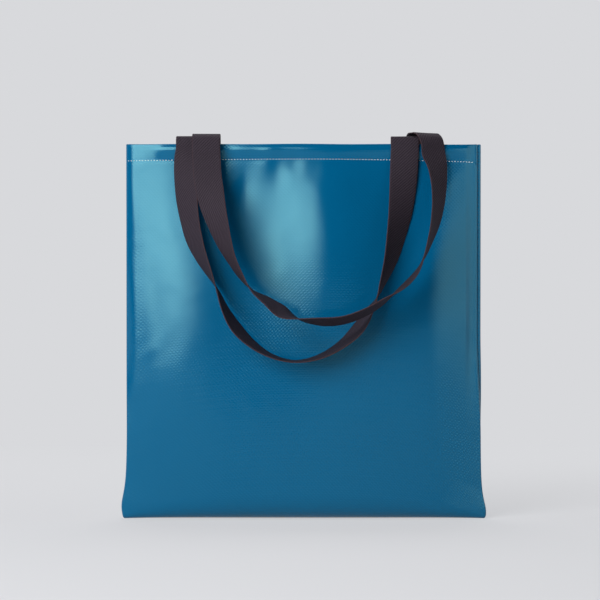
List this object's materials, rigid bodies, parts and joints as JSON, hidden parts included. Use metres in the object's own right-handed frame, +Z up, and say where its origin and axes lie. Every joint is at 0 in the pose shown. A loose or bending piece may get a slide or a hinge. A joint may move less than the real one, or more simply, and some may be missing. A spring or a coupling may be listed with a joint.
{
  "type": "tote bag",
  "caption": "Flat shopper of glossy coated tarpaulin, folded at the bottom, hemmed at the open mouth, with webbing handles hanging over the front.",
  "frame": {"origin": "on the floor below the middle of the bag, in the plane of the side seams, at the centre of the flat base", "axes": "+X to the right seen from the front, +Y towards the back panel, +Z up to the mouth; the handles hang over the front panel on the -Y side"},
  "size_m": [0.392, 0.1215, 0.4144],
  "materials": {
    "tarpaulin": "glossy PVC coating over a woven scrim",
    "webbing": "twill-woven webbing",
    "hem_thread": "polyester sewing thread",
    "seam_thread": "polyester sewing thread",
    "tack_thread": "polyester sewing thread"
  },
  "bodies": {
    "root": {"bag_body": "tarpaulin", "front_handle": "webbing", "back_handle": "webbing", "front_hem_thread": "hem_thread", "back_hem_thread": "hem_thread", "left_seam_thread": "seam_thread", "right_seam_thread": "seam_thread", "front_handle_left_tack": "tack_thread", "front_handle_right_tack": "tack_thread", "back_handle_left_tack": "tack_thread", "back_handle_right_tack": "tack_thread"}
  },
  "joints": []
}
